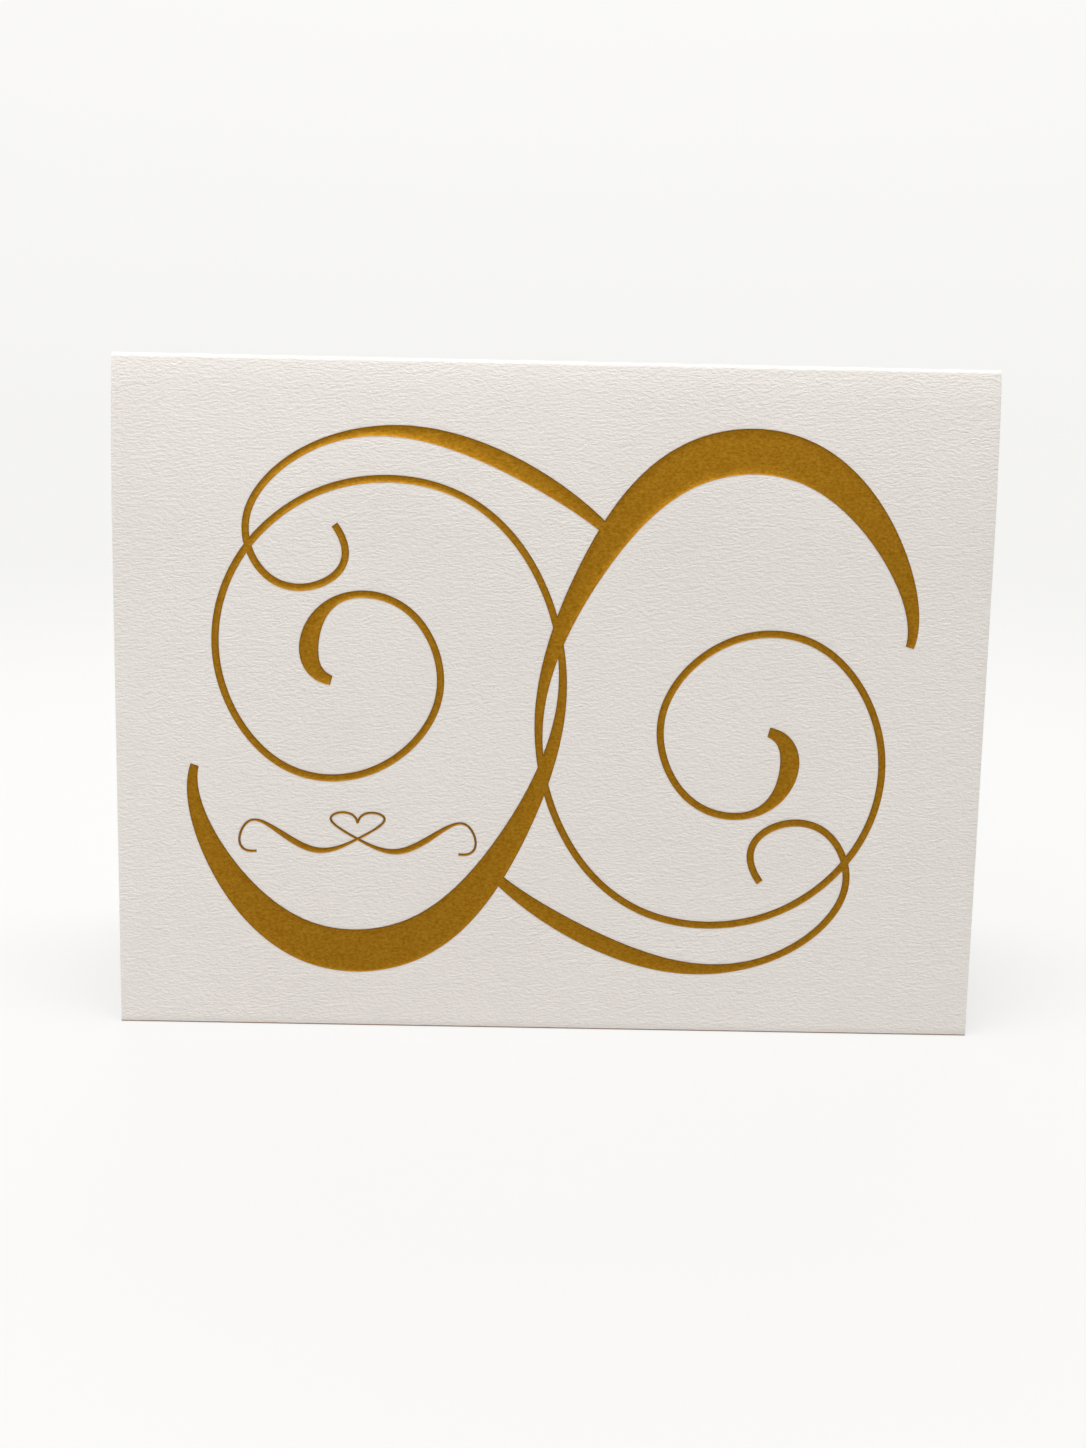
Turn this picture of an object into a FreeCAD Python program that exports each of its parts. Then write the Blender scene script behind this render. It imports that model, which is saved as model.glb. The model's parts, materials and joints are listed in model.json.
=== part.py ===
# A greeting card: one sheet of heavy paper, creased once and standing like a tent,
# with a flourish of gold foil pressed into its front panel.
#
# Millimetres, +Z up. The crease runs along X, the front panel faces -Y, and the origin is
# on the ground under the middle of the card.

import FreeCAD, Part
import math
import os

# The sheet
card_width = 139.7              # along the crease
panel_height = 107.95           # from the crease to the cut foot, along the middle of the sheet
sheet_thickness = 0.45

# How it stands
lean = 10.0                     # degrees between the flat of each panel and the vertical

# The crease, and the slight bow that a creased sheet keeps below it
crease_inner_radius = 0.45
neck_length = 5.0
neck_turn = 4.5                 # degrees
shoulder_length = 22.0
shoulder_turn = 3.5             # degrees

# The foil, which lies on the floor of a shallow impression
impression_depth = 0.12
foil_thickness = 0.05
foil_clearance = 0.03           # between the foil's edge and the wall of the impression

# The pen that draws the flourish: its lightest lines, and the swells of its strokes
hairline = 1.05
scroll_swell = 7.0
bud_swell = 3.0
tendril_swell = 2.8
fine_line = 0.28
wave_swell = 0.9

# The field that the scrolls fill
side_margin = 12.0
foot_margin = 9.5
crown_margin = 10.5

# The small ornament in the bowl of the lower scroll
ornament_height = 9.0
ornament_clearance = 5.0        # from each side of the bowl, along its middle line

# Worked out from the sizes above
crease_outer_radius = crease_inner_radius + sheet_thickness
field_width = card_width - 2 * side_margin
field_height = panel_height - foot_margin - crown_margin
field_middle = foot_margin + field_height / 2

# How strokes are drawn: each knot is followed by this many arcs, and no piece has more knots
arcs_per_knot = 2
knots_per_piece = 3

# How far a cutting shape passes the face that it cuts
overshoot = 0.25


# The sheet's section, which lies across the crease

def in_section(y, z):
    """A point of the section."""
    return FreeCAD.Vector(0, y, z)


def outward(angle):
    """The outward direction where the front face has turned by this angle from the crown."""
    return in_section(-math.sin(angle), math.cos(angle))


def downward(angle):
    """The direction down the front face at this angle."""
    return in_section(-math.cos(angle), -math.sin(angle))


flat_angle = math.radians(90 - lean)
shoulder_angle = flat_angle - math.radians(shoulder_turn)
neck_angle = shoulder_angle - math.radians(neck_turn)
neck_radius = neck_length / math.radians(neck_turn)
shoulder_radius = shoulder_length / math.radians(shoulder_turn)

# The bends of the front face from the crown down: radius, angle at the top, angle at the bottom
bends = [
    (crease_outer_radius, 0, neck_angle),
    (neck_radius, neck_angle, shoulder_angle),
    (shoulder_radius, shoulder_angle, flat_angle),
]
bent_length = sum((radius - sheet_thickness / 2) * (bottom - top) for radius, top, bottom in bends)
flat_length = panel_height - bent_length


def front_points(depth):
    """Crown, middle and end of each bend, and foot of the front half, this deep under its face."""
    start = in_section(0, 0)
    points = [start - outward(0) * depth]
    for radius, top, bottom in bends:
        centre = start - outward(top) * radius
        for angle in ((top + bottom) / 2, bottom):
            points.append(centre + outward(angle) * (radius - depth))
        start = centre + outward(bottom) * radius
    foot_point = start + downward(flat_angle) * flat_length
    points.append(foot_point - outward(flat_angle) * depth)
    return points


def back_points(depth):
    """The same points on the back half."""
    return [in_section(-point.y, point.z) for point in front_points(depth)]


def line(start, end):
    """A straight edge."""
    return Part.LineSegment(start, end).toShape()


def down_the_face(points):
    """Arcs round the bends and a straight line down the flat."""
    edges = [Part.Arc(*points[at:at + 3]).toShape() for at in range(0, 2 * len(bends), 2)]
    edges.append(line(points[-2], points[-1]))
    return edges


# The inner arris of each foot touches the ground
ground = front_points(sheet_thickness)[-1].z
front_foot = front_points(0)[-1] - in_section(0, ground)


def drawn_out(edges):
    """A closed section drawn out over the card's whole width, and set on the ground."""
    section = Part.Face(Part.Wire(Part.__sortEdges__(edges)))
    section.translate(FreeCAD.Vector(-card_width / 2, 0, -ground))
    return section.extrude(FreeCAD.Vector(card_width, 0, 0))


def folded_sheet():
    """The whole sheet: two panels joined by the rounded crease, with square cut feet."""
    edges = []
    for half in (front_points, back_points):
        outer = half(0)
        inner = half(sheet_thickness)
        edges += down_the_face(outer) + down_the_face(inner)
        edges.append(line(outer[-1], inner[-1]))
    return drawn_out(edges)


def front_layer(top, bottom):
    """The layer of the front panel between two depths under its face."""
    upper = front_points(top)
    lower = front_points(bottom)
    edges = down_the_face(upper) + down_the_face(lower)
    edges.append(line(upper[0], lower[0]))
    edges.append(line(upper[-1], lower[-1]))
    return drawn_out(edges)


# Pen strokes, drawn flat with X across the panel and Y up from the middle of its foot

def width_at(place, pen, swells):
    """Width of a stroke at a place counted in knots. Each swell is its middle, reach and width."""
    width = pen
    for middle, reach, broadest in swells:
        away = abs(place - middle) / reach
        if away < 1:
            width += (broadest - pen) * math.cos(away * math.pi / 2) ** 2
    return width


def stroke_faces(knots, pen, swells, trim):
    """Faces of one stroke through its knots, blunt at both ends and trimmed along both sides.

    It comes in short pieces, because a whole stroke may cross itself."""
    path = Part.BSplineCurve()
    path.interpolate(Points=knots, Parameters=list(range(len(knots))))
    steps = 2 * arcs_per_knot
    faces = []
    for first in range(0, len(knots) - 1, knots_per_piece):
        last = min(first + knots_per_piece, len(knots) - 1)
        left = []
        right = []
        for step in range(first * steps, last * steps + 1):
            place = step / steps
            along = path.tangent(place)[0]
            half_width = width_at(place, pen, swells) / 2 - trim
            aside = FreeCAD.Vector(-along.y, along.x, 0) * half_width
            left.append(path.value(place) + aside)
            right.append(path.value(place) - aside)
        edges = [line(left[0], right[0]), line(left[-1], right[-1])]
        for side in (left, right):
            edges += [Part.Arc(*side[at:at + 3]).toShape() for at in range(0, len(side) - 1, 2)]
        faces.append(Part.Face(Part.Wire(Part.__sortEdges__(edges))))
    return faces


def placed(knots, width, height, middle, facing):
    """Knots in hundredths of half a width and half a height, set out from a middle in millimetres.

    Facing is 1 or -1 in each direction, which mirrors or turns the stroke."""
    points = []
    for across, up in knots:
        x = middle[0] + facing[0] * across / 100 * width / 2
        y = middle[1] + facing[1] * up / 100 * height / 2
        points.append(FreeCAD.Vector(x, y, 0))
    return points


# The great scroll, from the blunt end of its bowl to the bud in its eye
scroll_knots = [
    (-99, -24), (-93, -58), (-69, -89), (-36, -87), (-11, -51), (3, 1), (-5, 49), (-29, 77), (-62, 77),
    (-87, 50), (-92, 10), (-75, -23), (-48, -24), (-31, 3), (-39, 33), (-58, 38), (-67, 22), (-61, 8)]
scroll_swells = [(2.55, 2.9, scroll_swell), (16.1, 1.3, bud_swell)]

# The tendril, which leaves the bowl of one scroll, passes under the other and curls up inside it
tendril_knots = [(-16, -62), (7, -83), (38, -97), (67, -91), (84, -67), (77, -44), (61, -45), (60, -64)]
tendril_swells = [(1.2, 1.7, tendril_swell)]

# The wave, which with its mirror image makes the small ornament between the sides of the bowl
wave_knots = [
    (0, 58), (-12, 96), (-22, 67), (0, 0), (33, -44), (65, 22), (88, 62), (98, -9), (84, -50)]
wave_swells = [(4.4, 1.6, wave_swell)]
bowl_left = (-96, -50)
bowl_right = (-11, -51)


def scroll_faces(trim):
    """Two scrolls and two tendrils; the second of each is the first turned by half a turn."""
    faces = []
    for knots, swells in ((scroll_knots, scroll_swells), (tendril_knots, tendril_swells)):
        for facing in ((1, 1), (-1, -1)):
            path = placed(knots, field_width, field_height, (0, field_middle), facing)
            faces += stroke_faces(path, hairline, swells, trim)
    return faces


def ornament_faces(trim):
    """Two waves that cross in the middle, each the other's mirror image."""
    left, right = placed((bowl_left, bowl_right), field_width, field_height, (0, field_middle), (1, 1))
    middle = (left + right) / 2
    width = right.x - left.x - 2 * ornament_clearance
    faces = []
    for facing in ((1, 1), (-1, 1)):
        path = placed(wave_knots, width, ornament_height, middle, facing)
        faces += stroke_faces(path, fine_line, wave_swells, trim)
    return faces


# Pressing

# How far the crown lies behind the plane of the front panel's flat
bow = (front_points(0)[-1] - front_points(0)[0]).dot(outward(flat_angle))


def pressed(faces, layer):
    """What a die with these faces takes out of a layer of the front panel."""
    reach = bow + sheet_thickness + 2 * overshoot
    stamps = [face.extrude(FreeCAD.Vector(0, 0, -reach)) for face in faces]
    die = stamps[0].multiFuse(stamps[1:]).removeSplitter()
    die.translate(FreeCAD.Vector(0, 0, 2 * overshoot))
    up = downward(flat_angle) * -1
    out = outward(flat_angle)
    on_panel = FreeCAD.Matrix(
        1, 0, out.x, front_foot.x,
        0, up.y, out.y, front_foot.y,
        0, up.z, out.z, front_foot.z,
        0, 0, 0, 1)
    return die.transformShape(on_panel).common(layer)


impression = front_layer(-overshoot, impression_depth)
foil = front_layer(impression_depth - foil_thickness, impression_depth)

folded_card = folded_sheet()
folded_card = folded_card.cut(pressed(scroll_faces(0), impression))
folded_card = folded_card.cut(pressed(ornament_faces(0), impression))

parts = {
    "folded_card": folded_card,
    "foil_scroll": pressed(scroll_faces(foil_clearance), foil),
    "foil_ornament": pressed(ornament_faces(foil_clearance), foil),
}

os.makedirs("parts", exist_ok=True)
for name, shape in parts.items():
    shape.exportStep("parts/" + name + ".step")
    print(name, len(shape.Solids), "solid,", round(shape.Volume, 2), "mm3, valid:", shape.isValid())
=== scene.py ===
# The looks of the greeting card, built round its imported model.
#
# A sheet of ivory felt-marked paper, creased once and standing like a tent, with a flourish of
# gold foil pressed into its front panel. Lengths are in millimetres until a mesh is made of them.
# On the front panel, a flat point is its X and its height up the panel's flat from its foot.

import json
import math

import bmesh
import bpy
import numpy as np
from mathutils import Matrix, Vector
from mathutils.geometry import delaunay_2d_cdt


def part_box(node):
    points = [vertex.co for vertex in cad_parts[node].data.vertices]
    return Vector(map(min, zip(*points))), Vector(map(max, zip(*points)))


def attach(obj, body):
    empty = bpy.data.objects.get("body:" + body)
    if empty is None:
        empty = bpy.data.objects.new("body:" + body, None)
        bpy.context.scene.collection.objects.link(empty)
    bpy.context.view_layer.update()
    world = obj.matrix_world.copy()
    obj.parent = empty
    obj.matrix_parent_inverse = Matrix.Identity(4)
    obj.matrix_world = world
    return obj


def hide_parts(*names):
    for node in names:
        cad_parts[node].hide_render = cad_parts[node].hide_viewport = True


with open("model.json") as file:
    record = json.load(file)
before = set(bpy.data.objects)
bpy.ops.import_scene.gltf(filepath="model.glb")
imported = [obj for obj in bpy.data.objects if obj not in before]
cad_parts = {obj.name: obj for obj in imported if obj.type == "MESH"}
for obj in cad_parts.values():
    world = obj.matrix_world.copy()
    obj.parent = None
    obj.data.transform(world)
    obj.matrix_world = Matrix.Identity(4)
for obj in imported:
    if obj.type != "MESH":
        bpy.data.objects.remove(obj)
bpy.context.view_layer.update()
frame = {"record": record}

MM = 0.001

# The sheet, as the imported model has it
card_low, card_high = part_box("folded_card")
card_width = (card_high.x - card_low.x) / MM
panel_height = 107.95           # from the crease to the cut foot, along the middle of the sheet
sheet_thickness = 0.45
crease_inner_radius = 0.45
neck_length = 5.0
neck_turn = math.radians(4.5)
shoulder_length = 22.0
shoulder_turn = math.radians(3.5)

# How far each panel's flat leans from the vertical
flat_lean = math.asin(frame["record"]["mounts"][0]["axis"][2])

# The impression and the foil that lies in it
impression_depth = 0.12
shoulder_depth = 0.012          # how far the paper round a stroke is drawn down with it
shoulder_reach = 0.30           # and how far out that begins
foil_gap = 0.012                # under the foil
foil_thickness = 0.035

# These are measured inward from a stroke's edge
wall_top = -0.06                # where the impression's rounded wall begins
wall_foot = 0.15                # and where it meets the impression's floor
foil_edge = -0.04
painted_edge_shade_start = 0.2                 # where painted shade on the foil begins, deepening towards its edge

# The pen
hairline = 1.05
scroll_swell = 7.0
bud_swell = 3.0
tendril_swell = 2.8
fine_line = 0.28
wave_swell = 0.9

# The field that the scrolls fill, and the small ornament in the bowl of the lower one
side_margin = 12.0
foot_margin = 9.5
crown_margin = 10.5
ornament_height = 9.0
ornament_clearance = 5.0

# How finely the meshes are divided
column_spacing = 1.25
row_spacing = 1.25
crown_steps = 10
stroke_spacing = 0.55
fine_stroke_spacing = 0.3
fine_steps = 60                 # for each knot, where the length of a stroke is measured
nearest_points = 0.01           # nearer points than this become one

# The outlines that the mesh follows round each stroke, measured inward from its edge
outline_insets = (-shoulder_reach, -0.18, foil_edge, 0.05, wall_foot)
least_width = 0.2               # of a stroke, as a share, that its innermost outline keeps
room_outside = 0.5              # between the outlines and the evenly spread points round them
room_inside = 0.4

# The rounded arrises of the cut sheet
arris_radius = 0.05
foot_radius = 0.13              # of the outer arris of each foot, which the ground has rubbed
arris_steps = 3
arris_angle = math.radians(60)      # sharper edges than this are arrises
shaded_angle = math.radians(35)     # and gentler ones than this are shaded as smooth
weld_reach = 0.002              # nearer points than this are joined where surfaces meet
level_reach = 0.01              # of an edge from the height of the foot, to count as the foot's

# The sheet isn't perfectly flat: it sways gently in and out, in waves that cross one another
sway = 0.02
sway_fade = 0.8                 # of a half wave lies across the sheet, so it sways less at the sides
sway_waves = [                  # share, millimetres a radian across and up, and start of each wave
    (1.0, 13.0, 31.0, 0.0),
    (1.0, 29.0, -17.0, 1.3),
    (0.6, 7.3, 9.1, 0.0),
]


# The sheet's section, in Y and Z, from the crown down the front half

crease_outer_radius = crease_inner_radius + sheet_thickness
flat_angle = math.pi / 2 - flat_lean
shoulder_angle = flat_angle - shoulder_turn
neck_angle = shoulder_angle - neck_turn
bends = [
    (crease_outer_radius, 0, neck_angle),
    (neck_length / neck_turn, neck_angle, shoulder_angle),
    (shoulder_length / shoulder_turn, shoulder_angle, flat_angle),
]
bent_length = sum((radius - sheet_thickness / 2) * (bottom - top) for radius, top, bottom in bends)
flat_length = panel_height - bent_length


def outward(angle):
    """The outward direction where the front face has turned by this angle from the crown."""
    return np.array((-math.sin(angle), math.cos(angle)))


def downward(angle):
    """The direction down the front face at this angle."""
    return np.array((-math.cos(angle), -math.sin(angle)))


def section():
    """Points down the front face and the outward direction at each, from the crown to the foot."""
    points = [np.zeros(2)]
    facings = [outward(0)]
    for radius, top, bottom in bends:
        centre = points[-1] - outward(top) * radius
        steps = max(crown_steps, round(radius * (bottom - top) / row_spacing))
        for angle in np.linspace(top, bottom, steps + 1)[1:]:
            points.append(centre + outward(angle) * radius)
            facings.append(outward(angle))
    start = points[-1]
    for reach in np.linspace(0, flat_length, round(flat_length / row_spacing) + 1)[1:]:
        points.append(start + downward(flat_angle) * reach)
        facings.append(outward(flat_angle))
    points = np.array(points)
    facings = np.array(facings)
    points[:, 1] -= (points[-1] - facings[-1] * sheet_thickness)[1]
    return points, facings


outer_points, outer_facings = section()
inner_points = outer_points - outer_facings * sheet_thickness
front_foot = outer_points[-1]
panel_up = -downward(flat_angle)
panel_out = outward(flat_angle)
columns = np.linspace(-card_width / 2, card_width / 2, round(card_width / column_spacing) + 1)

# The front panel begins where the crown's arc ends
panel_points = outer_points[crown_steps:]
panel_rows = (panel_points - front_foot) @ panel_up
panel_bow = -(panel_points - front_foot) @ panel_out


# Strokes

def slopes(knots):
    """Slopes at the knots of the smooth curve through them, whose ends follow their four knots."""
    system = np.eye(len(knots))
    known = np.zeros(knots.shape)
    for at in range(1, len(knots) - 1):
        system[at, at - 1:at + 2] = 1, 4, 1
        known[at] = 3 * (knots[at + 1] - knots[at - 1])
    end = np.array((-11, 18, -9, 2)) / 6
    known[0] = end @ knots[:4]
    known[-1] = -end @ knots[:-5:-1]
    return np.linalg.solve(system, known)


def along(knots, places):
    """Points and headings of the smooth curve through the knots, at places counted in knots."""
    slope = slopes(knots)
    at = np.minimum(places.astype(int), len(knots) - 2)
    t = (places - at)[:, None]
    start, end = knots[at], knots[at + 1]
    leaving, arriving = slope[at], slope[at + 1]
    rise = 3 * t ** 2 - 2 * t ** 3
    points = start + rise * (end - start)
    points += (t ** 3 - 2 * t ** 2 + t) * leaving
    points += (t ** 3 - t ** 2) * arriving
    headings = 6 * (t - t ** 2) * (end - start)
    headings += (3 * t ** 2 - 4 * t + 1) * leaving + (3 * t ** 2 - 2 * t) * arriving
    return points, headings / np.linalg.norm(headings, axis=1)[:, None]


def widths(places, pen, swells):
    """Widths of a stroke at places counted in knots. Each swell is its middle, reach and width."""
    total = np.full(len(places), pen)
    for middle, reach, broadest in swells:
        away = np.minimum(np.abs(places - middle) / reach, 1)
        total += (broadest - pen) * np.cos(away * math.pi / 2) ** 2
    return total


def stroke(knots, pen, swells, spacing):
    """A stroke as evenly spaced points, the headings there, and half the widths there."""
    fine = np.linspace(0, len(knots) - 1, fine_steps * len(knots))
    steps = np.linalg.norm(np.diff(along(knots, fine)[0], axis=0), axis=1)
    run = np.concatenate(([0], np.cumsum(steps)))
    places = np.interp(np.linspace(0, run[-1], round(run[-1] / spacing) + 1), run, fine)
    points, headings = along(knots, places)
    return points, headings, widths(places, pen, swells) / 2


def placed(knots, width, height, middle, facing):
    """Knots in hundredths of half a width and half a height, set out from a middle."""
    return np.array(middle) + np.array(knots) / 100 * np.array(facing) * (width / 2, height / 2)


field_width = card_width - 2 * side_margin
field_height = panel_height - foot_margin - crown_margin
field_middle = (0, foot_margin + field_height / 2)

# The great scroll, from the blunt end of its bowl to the bud in its eye
scroll_knots = [
    (-99, -24), (-93, -58), (-69, -89), (-36, -87), (-11, -51), (3, 1), (-5, 49), (-29, 77), (-62, 77),
    (-87, 50), (-92, 10), (-75, -23), (-48, -24), (-31, 3), (-39, 33), (-58, 38), (-67, 22), (-61, 8)]
scroll_swells = [(2.55, 2.9, scroll_swell), (16.1, 1.3, bud_swell)]

# The tendril, which leaves the bowl of one scroll, passes under the other and curls up inside it
tendril_knots = [(-16, -62), (7, -83), (38, -97), (67, -91), (84, -67), (77, -44), (61, -45), (60, -64)]
tendril_swells = [(1.2, 1.7, tendril_swell)]

# The wave, which with its mirror image makes the small ornament between the sides of the bowl
wave_knots = [
    (0, 58), (-12, 96), (-22, 67), (0, 0), (33, -44), (65, 22), (88, 62), (98, -9), (84, -50)]
wave_swells = [(4.4, 1.6, wave_swell)]
bowl_left = (-96, -50)
bowl_right = (-11, -51)


def scroll_strokes():
    """Two scrolls and two tendrils; the second of each is the first turned by half a turn."""
    strokes = []
    for knots, swells in ((scroll_knots, scroll_swells), (tendril_knots, tendril_swells)):
        for facing in ((1, 1), (-1, -1)):
            path = placed(knots, field_width, field_height, field_middle, facing)
            strokes.append(stroke(path, hairline, swells, stroke_spacing))
    return strokes


def ornament_strokes():
    """Two waves that cross in the middle, each the other's mirror image."""
    left, right = placed((bowl_left, bowl_right), field_width, field_height, field_middle, (1, 1))
    middle = (left + right) / 2
    width = right[0] - left[0] - 2 * ornament_clearance
    strokes = []
    for facing in ((1, 1), (-1, 1)):
        path = placed(wave_knots, width, ornament_height, middle, facing)
        strokes.append(stroke(path, fine_line, wave_swells, fine_stroke_spacing))
    return strokes


def outline(line, inset):
    """A closed outline of a stroke, this far inside its edge, or outside it where negative."""
    centres, headings, halves = line
    centres = centres.copy()
    centres[0] += headings[0] * inset
    centres[-1] -= headings[-1] * inset
    aside = np.stack((-headings[:, 1], headings[:, 0]), 1)
    reach = np.maximum(halves - inset, halves * least_width)[:, None]
    return np.concatenate((centres + aside * reach, (centres - aside * reach)[::-1]))


far_outside = 1.5               # farther than this from a stroke, nothing is measured
stretch = 10                    # of a stroke's steps, which are measured together


def inside(points, strokes):
    """How far each point is inside the edge of the strokes, and negative outside it."""
    best = np.full(len(points), -far_outside)
    for centres, headings, halves in strokes:
        last = len(centres) - 1
        for first in range(0, last, stretch):
            some = slice(first, min(first + stretch, last) + 1)
            room = halves[some].max() + far_outside
            low = centres[some].min(axis=0) - room
            high = centres[some].max(axis=0) + room
            near = np.nonzero(np.all((points > low) & (points < high), axis=1))[0]
            if not len(near):
                continue
            start, step = centres[some][:-1], np.diff(centres[some], axis=0)
            offset = points[near][:, None] - start
            part = np.clip((offset * step).sum(axis=2) / (step ** 2).sum(axis=1), 0, 1)
            away = np.linalg.norm(offset - part[:, :, None] * step, axis=2)
            half = halves[some][:-1] + part * np.diff(halves[some])
            depth = (half - away).max(axis=1)
            if first == 0:
                depth = np.minimum(depth, (points[near] - centres[0]) @ headings[0])
            if first + stretch >= last:
                depth = np.minimum(depth, (centres[-1] - points[near]) @ headings[-1])
            best[near] = np.maximum(best[near], depth)
    return best


# Surfaces

def smooth(values, start, end):
    """Rises smoothly from 0 at the start to 1 at the end."""
    t = np.clip((values - start) / (end - start), 0, 1)
    return t * t * (3 - 2 * t)


def pressed_depth(depth_inside):
    """How deep the paper lies under its face, this far inside a stroke's edge."""
    shoulder = smooth(depth_inside, -shoulder_reach, wall_top)
    wall = smooth(depth_inside, wall_top, wall_foot)
    return shoulder_depth * shoulder + (impression_depth - shoulder_depth) * wall


def swayed(x, z):
    """How far the sheet sways outward, which is nothing at the crown and at the foot."""
    height = z / outer_points[0][1]
    held = np.sin(np.clip(height, 0, 1) * math.pi) * np.cos(x / card_width * math.pi * sway_fade)
    waves = sum(share * np.sin(x / across + z / up + start) for share, across, up, start in sway_waves)
    return sway * held * waves


def on_front(flat, depth):
    """Points in space on the front panel, this deep under its face."""
    x, up = flat[:, 0], flat[:, 1]
    behind = np.interp(up, panel_rows[::-1], panel_bow[::-1])
    place = front_foot + up[:, None] * panel_up - (behind + depth)[:, None] * panel_out
    place += swayed(x, place[:, 1])[:, None] * panel_out
    return np.column_stack((x, place))


def in_space(x, places, facings, side):
    """Points in space at one column of the sheet. Side is 1 for the front half and -1 for the back."""
    out = swayed(x, places[:, 1])
    y = places[:, 0] + out * facings[:, 0]
    z = places[:, 1] + out * facings[:, 1]
    return np.column_stack((np.full(len(y), x), side * y, z))


def lattice(bm, lines, turned):
    """Faces between neighbouring lines of points."""
    rows = [[bm.verts.new(point * MM) for point in line] for line in lines]
    for line, following in zip(rows, rows[1:]):
        for at in range(len(line) - 1):
            corners = [line[at], following[at], following[at + 1], line[at + 1]]
            bm.faces.new(corners[::-1] if turned else corners)


def front_mesh():
    """The front panel's triangles, as flat points and the faces between them."""
    strokes = scroll_strokes() + ornament_strokes()
    border = [(x, panel_rows[-1]) for x in columns[:-1]]
    border += [(columns[-1], up) for up in panel_rows[:0:-1]]
    border += [(x, panel_rows[0]) for x in columns[:0:-1]]
    border += [(columns[0], up) for up in panel_rows[:-1]]
    inner = np.array([(x, up) for x in columns[1:-1] for up in panel_rows[1:-1]])
    depth = inside(inner, strokes)
    inner = inner[(depth < -shoulder_reach - room_outside) | (depth > wall_foot + room_inside)]
    points = [np.array(border), inner]
    edges = [(at, (at + 1) % len(border)) for at in range(len(border))]
    count = len(border) + len(inner)
    for line in strokes:
        for inset in outline_insets:
            loop = outline(line, inset)
            points.append(loop)
            edges += [(count + at, count + (at + 1) % len(loop)) for at in range(len(loop))]
            count += len(loop)
    points = [Vector(point) for point in np.concatenate(points)]
    verts, _, faces, _, _, _ = delaunay_2d_cdt(points, edges, [], 0, nearest_points, False)
    return np.array(verts), np.array(faces)


flat_points, flat_faces = front_mesh()
scroll_depth = inside(flat_points, scroll_strokes())
ornament_depth = inside(flat_points, ornament_strokes())


def made(bm, name, material):
    """An object of this mesh, riding on the part's one body."""
    mesh = bpy.data.meshes.new(name)
    bm.to_mesh(mesh)
    bm.free()
    mesh.materials.append(material)
    mesh.set_sharp_from_angle(angle=shaded_angle)
    piece = bpy.data.objects.new(name, mesh)
    bpy.context.scene.collection.objects.link(piece)
    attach(piece, "root")
    return piece


def card_sheet(material):
    """The whole sheet, with the impression in its front panel and slightly rounded cut edges."""
    bm = bmesh.new()
    depth = pressed_depth(np.maximum(scroll_depth, ornament_depth))
    verts = [bm.verts.new(point * MM) for point in on_front(flat_points, depth)]
    for corners in flat_faces:
        bm.faces.new([verts[at] for at in corners])
    crown = slice(0, crown_steps + 1)
    lattice(bm, [in_space(x, outer_points[crown], outer_facings[crown], 1) for x in columns], False)
    lattice(bm, [in_space(x, outer_points, outer_facings, -1) for x in columns], True)
    for side in (1, -1):
        inner = [in_space(x, inner_points, outer_facings, side) for x in columns]
        lattice(bm, inner, side == 1)
        outer_feet = [in_space(x, outer_points[-1:], outer_facings[-1:], side) for x in columns]
        feet = [np.concatenate((outer, line[-1:])) for outer, line in zip(outer_feet, inner)]
        lattice(bm, feet, side == -1)
        for x in (columns[0], columns[-1]):
            outer = in_space(x, outer_points, outer_facings, side)
            within = in_space(x, inner_points, outer_facings, side)
            lattice(bm, [outer, within], (x > 0) == (side == 1))
    bmesh.ops.remove_doubles(bm, verts=bm.verts, dist=weld_reach * MM)
    bmesh.ops.recalc_face_normals(bm, faces=bm.faces)
    foot_height = outer_points[-1][1] * MM
    for at_foot, radius in ((True, foot_radius), (False, arris_radius)):
        edges = [edge for edge in bm.edges if edge.calc_face_angle(0) > arris_angle]
        edges = [edge for edge in edges if at_foot == all(
            abs(vert.co.z - foot_height) < level_reach * MM for vert in edge.verts)]
        bmesh.ops.bevel(
            bm, geom=edges, offset=radius * MM, segments=arris_steps, profile=0.5, affect="EDGES")
    for face in bm.faces:
        face.smooth = True
    piece = made(bm, "card_sheet", material)
    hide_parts("folded_card")


def foil(name, node, depth_inside, strokes, material):
    """Foil over the whole floor of an impression, with its edges turned up along the wall."""
    middles = flat_points[flat_faces].mean(axis=1)
    faces = flat_faces[inside(middles, strokes) > foil_edge]
    used, faces = np.unique(faces, return_inverse=True)
    faces = faces.reshape(-1, 3)
    paper = pressed_depth(depth_inside[used])
    # How much painted shade the foil takes at each point, most at its edges where they turn down into
    # the impression
    painted_edge_shade = smooth(depth_inside[used], painted_edge_shade_start, foil_edge)
    bm = bmesh.new()
    painted_edge_shade_layer = bm.verts.layers.float.new("painted_edge_shade")
    under = [bm.verts.new(point * MM) for point in on_front(flat_points[used], paper - foil_gap)]
    over_depth = paper - foil_gap - foil_thickness
    over = [bm.verts.new(point * MM) for point in on_front(flat_points[used], over_depth)]
    for vert, value in zip(under + over, np.tile(painted_edge_shade, 2)):
        vert[painted_edge_shade_layer] = value
    for corners in faces:
        bm.faces.new([over[at] for at in corners])
        bm.faces.new([under[at] for at in corners[::-1]])
    sides = {}
    for corners in faces:
        for start, end in zip(corners, np.roll(corners, -1)):
            if (end, start) in sides:
                del sides[end, start]
            else:
                sides[start, end] = True
    for start, end in sides:
        bm.faces.new([over[end], over[start], under[start], under[end]])
    bmesh.ops.recalc_face_normals(bm, faces=bm.faces)
    for face in bm.faces:
        face.smooth = True
    piece = made(bm, name, material)
    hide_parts(node)


# Materials

def add(tree, kind, inputs=None, **settings):
    """A new node. An input is a value, or another node's output to link to it."""
    new = tree.nodes.new(kind)
    for setting, value in settings.items():
        setattr(new, setting, value)
    for name, value in (inputs or {}).items():
        if isinstance(value, bpy.types.NodeSocket):
            tree.links.new(value, new.inputs[name])
        else:
            new.inputs[name].default_value = value
    return new


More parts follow.
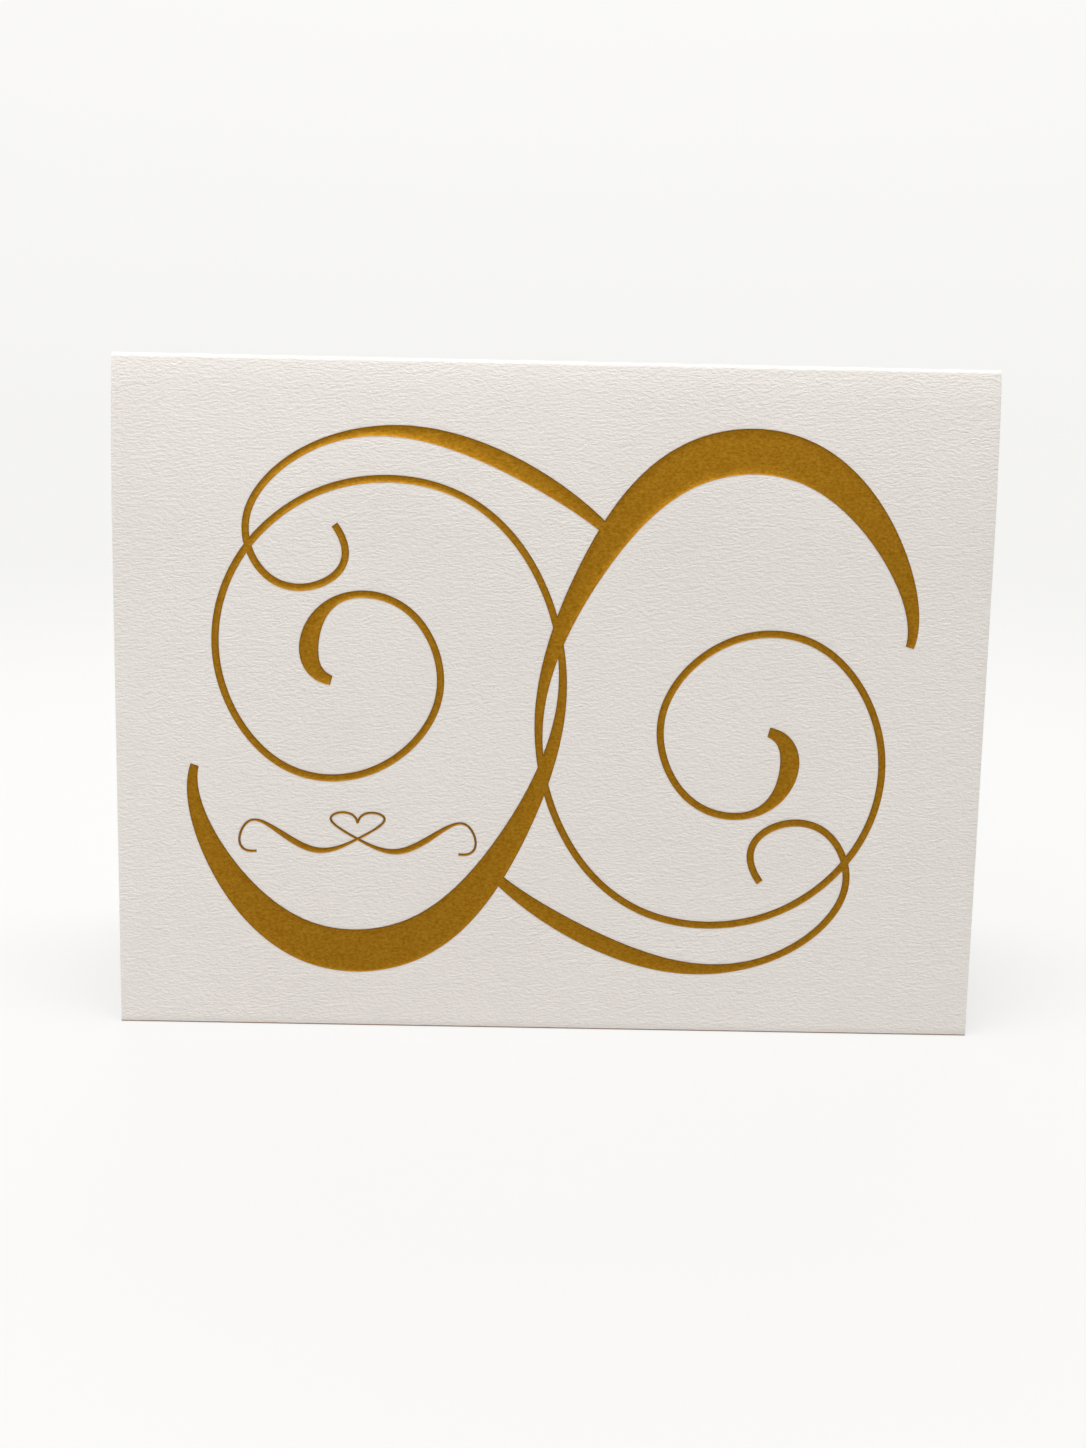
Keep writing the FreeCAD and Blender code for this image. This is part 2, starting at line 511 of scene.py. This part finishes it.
def blended(tree, factor, first, second):
    """A colour between two others."""
    mix = add(tree, "ShaderNodeMix", {0: factor, 6: first, 7: second}, data_type="RGBA")
    return mix.outputs[2]


def noise(tree, size, detail=2.0, roughness=0.55):
    """Noise whose spots are this large, across and up, in millimetres."""
    place = add(tree, "ShaderNodeTexCoord").outputs["Object"]
    scale = (1 / (size[0] * MM), 1 / (size[0] * MM), 1 / (size[1] * MM))
    spread = add(tree, "ShaderNodeMapping", {"Vector": place, "Scale": scale})
    inputs = {"Vector": spread.outputs[0], "Scale": 1.0, "Detail": detail, "Roughness": roughness}
    return add(tree, "ShaderNodeTexNoise", inputs).outputs["Fac"]


def stepped(tree, value, low, high, to_low=0.0, to_high=1.0):
    """Spreads a value's range to another range."""
    inputs = {"Value": value, "From Min": low, "From Max": high, "To Min": to_low, "To Max": to_high}
    return add(tree, "ShaderNodeMapRange", inputs).outputs[0]


def summed(tree, first, second, weight):
    """The first value and so much of the second."""
    inputs = {0: second, 1: weight, 2: first}
    return add(tree, "ShaderNodeMath", inputs, operation="MULTIPLY_ADD").outputs[0]


def bumped(tree, height, depth):
    """The facing of a surface with this relief, so many millimetres deep."""
    inputs = {"Height": height, "Distance": depth * MM, "Strength": 1.0}
    return add(tree, "ShaderNodeBump", inputs).outputs[0]


def new_material(name):
    """An empty node material and its surface shader."""
    material = bpy.data.materials.new(name)
    material.use_nodes = True
    tree = material.node_tree
    return material, tree, tree.nodes["Principled BSDF"]


# Nearly all of a noise's values lie between these
noise_low = 0.35
noise_high = 0.65

# Paper, whose sizes are across and up
paper_warm = (0.768, 0.715, 0.680, 1)
paper_cool = (0.748, 0.717, 0.670, 1)
paper_light = (0.793, 0.753, 0.713, 1)
mottle_size = (1.6, 0.9)
cloud_size = (30, 22)
cloud_strength = 0.35
felt_size = (0.82, 0.36)
felt_depth = 0.12
fibre_size = (0.42, 0.2)
fibre_share = 0.45
paper_roughness = (0.80, 0.92)
paper_specular = 0.3

# Painted contact shadow: the thin dark line along the cut foot where it meets the ground, with its
# heights above the ground
painted_foot_shadow_colour = (0.25, 0.125, 0.060, 1)
painted_foot_shadow_from = 0.22
painted_foot_shadow_to = 0.30

# Foil
foil_deep = (0.235, 0.098, 0.003, 1)
foil_pale = (0.345, 0.176, 0.014, 1)
# Painted shade on the foil's edges, where they turn down into the impression, and how strong it is
foil_edge_shade_colour = (0.155, 0.060, 0.001, 1)
painted_edge_shade_strength = 0.65
streak_size = (0.55, 0.32)
foil_felt_size = (1.7, 0.45)
foil_felt_depth = 0.035
speck_size = (0.25, 0.2)
speck_share = 0.3
foil_roughness = (0.45, 0.57)
rubbed_size = (5, 3)            # of the patches that are rubbed smoother


def card_stock():
    """Ivory paper with a felt mark that runs across the sheet, a faint mottle, and a painted contact
    shadow along its foot.
    """
    material, tree, shader = new_material("card_stock")
    mottle = stepped(tree, noise(tree, mottle_size), noise_low, noise_high)
    clouds = stepped(tree, noise(tree, cloud_size), noise_low, noise_high, 0.0, cloud_strength)
    tint = blended(tree, mottle, paper_warm, paper_cool)
    paper_colour = blended(tree, clouds, tint, paper_light)
    place = add(tree, "ShaderNodeTexCoord").outputs["Object"]
    above_ground = add(tree, "ShaderNodeSeparateXYZ", {"Vector": place}).outputs["Z"]
    # The paper turns to the painted shadow colour at its foot, where it meets the ground
    clear_of_foot_shadow = stepped(tree, above_ground, painted_foot_shadow_from * MM, painted_foot_shadow_to * MM)
    colour = blended(tree, clear_of_foot_shadow, painted_foot_shadow_colour, paper_colour)
    tree.links.new(colour, shader.inputs["Base Color"])
    felt = noise(tree, felt_size)
    fibres = noise(tree, fibre_size, roughness=0.6)
    facing = bumped(tree, summed(tree, felt, fibres, fibre_share), felt_depth)
    tree.links.new(facing, shader.inputs["Normal"])
    rough = stepped(tree, felt, noise_low, noise_high, *paper_roughness)
    tree.links.new(rough, shader.inputs["Roughness"])
    shader.inputs["Specular IOR Level"].default_value = paper_specular
    return material


def gold_foil():
    """Satin gold foil, which shows the paper's grain through it, with painted shade along its edges
    where they turn down into the impression.
    """
    material, tree, shader = new_material("gold_foil")
    grain = noise(tree, streak_size, detail=4.0, roughness=0.7)
    streak = stepped(tree, grain, noise_low, noise_high)
    painted_edge_shade = add(tree, "ShaderNodeAttribute", attribute_name="painted_edge_shade").outputs["Fac"]
    edge_shade_mix = stepped(tree, painted_edge_shade, 0.0, 1.0, 0.0, painted_edge_shade_strength)
    colour = blended(tree, edge_shade_mix, blended(tree, streak, foil_deep, foil_pale), foil_edge_shade_colour)
    tree.links.new(colour, shader.inputs["Base Color"])
    felt = noise(tree, foil_felt_size, detail=3.0, roughness=0.6)
    specks = noise(tree, speck_size, roughness=0.6)
    facing = bumped(tree, summed(tree, felt, specks, speck_share), foil_felt_depth)
    tree.links.new(facing, shader.inputs["Normal"])
    rough = stepped(tree, noise(tree, rubbed_size), noise_low, noise_high, *foil_roughness)
    tree.links.new(rough, shader.inputs["Roughness"])
    shader.inputs["Metallic"].default_value = 1.0
    return material


paper = card_stock()
gold = gold_foil()
card_sheet(paper)
foil("scroll_foil", "foil_scroll", scroll_depth, scroll_strokes(), gold)
foil("ornament_foil", "foil_ornament", ornament_depth, ornament_strokes(), gold)


# Studio

backdrop_low = (0.912, 0.908, 0.890, 1)
backdrop_high = (0.960, 0.955, 0.938, 1)
backdrop_rise = 0.3             # of a direction's height, over which it goes from low to high
floor_colour = (0.500, 0.497, 0.487, 1)
floor_roughness = 0.9
floor_shade = (0.165, 0.163, 0.159, 1)
floor_glow = (0.670, 0.667, 0.660, 1)
backdrop_light = 0.33           # strength of the soft light from all round

# Metres from the middle of the floor: where it begins and ends to fade, and its edge
fading_from = 0.2
fading_to = 0.6
floor_reach = 3.0
floor_sides = 96

# Soft lamps, with their places and sizes in metres and their powers in watts
card_middle = (0, 0, 0.05)
lamps = [
    ("overhead", (0, -0.03, 1.50), (1.76, 0.53), 28.2),
    ("high_front", (-0.40, -0.40, 0.65), (0.8, 0.5), 2.8),
    ("high_back", (0, 0.50, 0.60), (0.9, 0.3), 2.6),
]


def white_where_seen(tree, seen, otherwise):
    """One shader or value for what the camera, gloss and glass see, and another for all else."""
    path = add(tree, "ShaderNodeLightPath")
    seen_here = path.outputs["Is Camera Ray"]
    for kind in ("Is Glossy Ray", "Is Transmission Ray"):
        either = add(tree, "ShaderNodeMath", {0: seen_here, 1: path.outputs[kind]}, operation="MAXIMUM")
        seen_here = either.outputs[0]
    mix = add(tree, "ShaderNodeMixShader", {0: seen_here, 1: otherwise, 2: seen})
    return mix.outputs[0]


def studio_world():
    """A pale backdrop all round, and a soft light from it."""
    world = bpy.data.worlds.new("studio")
    bpy.context.scene.world = world
    world.use_nodes = True
    tree = world.node_tree
    tree.nodes.clear()
    heading = add(tree, "ShaderNodeTexCoord").outputs["Generated"]
    height = add(tree, "ShaderNodeSeparateXYZ", {"Vector": heading}).outputs["Z"]
    shade = blended(tree, stepped(tree, height, 0.0, backdrop_rise), backdrop_low, backdrop_high)
    seen = add(tree, "ShaderNodeBackground", {"Color": shade, "Strength": 1.0})
    light = add(tree, "ShaderNodeBackground", {"Color": (1, 1, 1, 1), "Strength": backdrop_light})
    surface = white_where_seen(tree, seen.outputs[0], light.outputs[0])
    add(tree, "ShaderNodeOutputWorld", {"Surface": surface})


def floor():
    """A pale floor that takes the card's shadow, and fades into the backdrop round it."""
    bm = bmesh.new()
    bmesh.ops.create_circle(bm, cap_ends=True, segments=floor_sides, radius=floor_reach)
    mesh = bpy.data.meshes.new("floor")
    bm.to_mesh(mesh)
    bm.free()
    ground = bpy.data.objects.new("floor", mesh)
    bpy.context.scene.collection.objects.link(ground)
    material, tree, shader = new_material("floor")
    mesh.materials.append(material)
    shader.inputs["Base Color"].default_value = floor_colour
    shader.inputs["Roughness"].default_value = floor_roughness
    shader.inputs["Specular IOR Level"].default_value = 0.0
    shade = add(tree, "ShaderNodeBsdfDiffuse", {"Color": floor_shade})
    glow = add(tree, "ShaderNodeEmission", {"Color": floor_glow, "Strength": 1.0})
    near = add(tree, "ShaderNodeAddShader", {0: shade.outputs[0], 1: glow.outputs[0]})
    backdrop = add(tree, "ShaderNodeEmission", {"Color": backdrop_low, "Strength": 1.0})
    place = add(tree, "ShaderNodeTexCoord").outputs["Object"]
    distance = add(tree, "ShaderNodeVectorMath", {0: place}, operation="LENGTH").outputs["Value"]
    fade = stepped(tree, distance, fading_from, fading_to)
    seen = add(tree, "ShaderNodeMixShader", {0: fade, 1: near.outputs[0], 2: backdrop.outputs[0]})
    surface = white_where_seen(tree, seen.outputs[0], shader.outputs[0])
    tree.links.new(surface, tree.nodes["Material Output"].inputs["Surface"])


def lamp(name, place, size, power):
    """A soft rectangular lamp that faces the card."""
    data = bpy.data.lights.new(name, "AREA")
    data.shape = "RECTANGLE"
    data.size, data.size_y = size
    data.energy = power
    light = bpy.data.objects.new(name, data)
    light.location = place
    light.rotation_euler = (Vector(card_middle) - Vector(place)).to_track_quat("-Z", "Y").to_euler()
    bpy.context.scene.collection.objects.link(light)


studio_world()
floor()
for name, place, size, power in lamps:
    lamp(name, place, size, power)


# Camera, at the photograph's viewing point

focal_pixels = 1100.0
picture_height = 1448.0
sensor_width = 36.0
nearest_seen = 10.0
camera_place = Vector((-2.16, -182.21, 98.05)) * MM
camera_down = math.radians(15.768)
camera_aside = math.radians(0.331)
camera_roll = math.radians(1.188)


def camera():
    """The camera, aimed by its turns down and to the side, and rolled a little."""
    data = bpy.data.cameras.new("camera")
    data.sensor_width = sensor_width
    data.lens = focal_pixels / picture_height * sensor_width
    data.clip_start = nearest_seen * MM
    view = bpy.data.objects.new("camera", data)
    bpy.context.scene.collection.objects.link(view)
    forward = Vector((
        math.sin(camera_aside) * math.cos(camera_down),
        math.cos(camera_aside) * math.cos(camera_down),
        -math.sin(camera_down)))
    right = forward.cross(Vector((0, 0, 1))).normalized()
    up = right.cross(forward)
    rolled_right = right * math.cos(camera_roll) + up * math.sin(camera_roll)
    rolled_up = up * math.cos(camera_roll) - right * math.sin(camera_roll)
    turn = Matrix((rolled_right, rolled_up, -forward)).transposed()
    view.matrix_world = Matrix.Translation(camera_place) @ turn.to_4x4()
    bpy.context.scene.camera = view


camera()
bpy.context.scene.view_settings.view_transform = "Standard"
